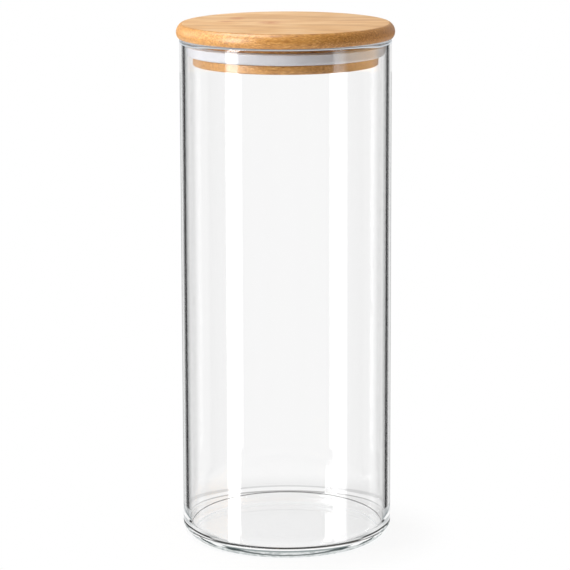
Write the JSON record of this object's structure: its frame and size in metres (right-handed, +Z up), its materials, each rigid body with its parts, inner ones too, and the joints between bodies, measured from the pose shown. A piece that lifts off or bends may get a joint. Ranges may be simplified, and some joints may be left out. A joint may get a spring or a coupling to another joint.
{
  "type": "glass storage jar with bamboo lid",
  "caption": "Straight clear-glass storage jar with a round bamboo stopper lid and a white silicone seal.",
  "frame": {"origin": "centre of the jar's flat underside, on the surface that it stands on", "axes": "+Z up along the jar's axis; +Y away from the picture's camera; +X to its right, along the bamboo's grain"},
  "size_m": [0.103, 0.103, 0.248],
  "materials": {
    "clear_glass": "clear, polished",
    "white_silicone": "satin",
    "bamboo": "fine-sanded and clear-oiled"
  },
  "bodies": {
    "jar": {"glass_jar": "clear_glass"},
    "seal": {"seal_ring": "white_silicone"},
    "lid": {"lid_cap": "bamboo", "lid_plug": "bamboo"}
  },
  "joints": [
    {"name": "lid_lift", "type": "slide", "parent": "jar", "child": "seal", "axis": [0, 0, 1], "range_m": [0, 0.12]},
    {"name": "lid_turn", "type": "hinge", "parent": "seal", "child": "lid", "pos_m": [0, 0, 0.2414], "axis": [0, 0, 1], "continuous": true}
  ]
}
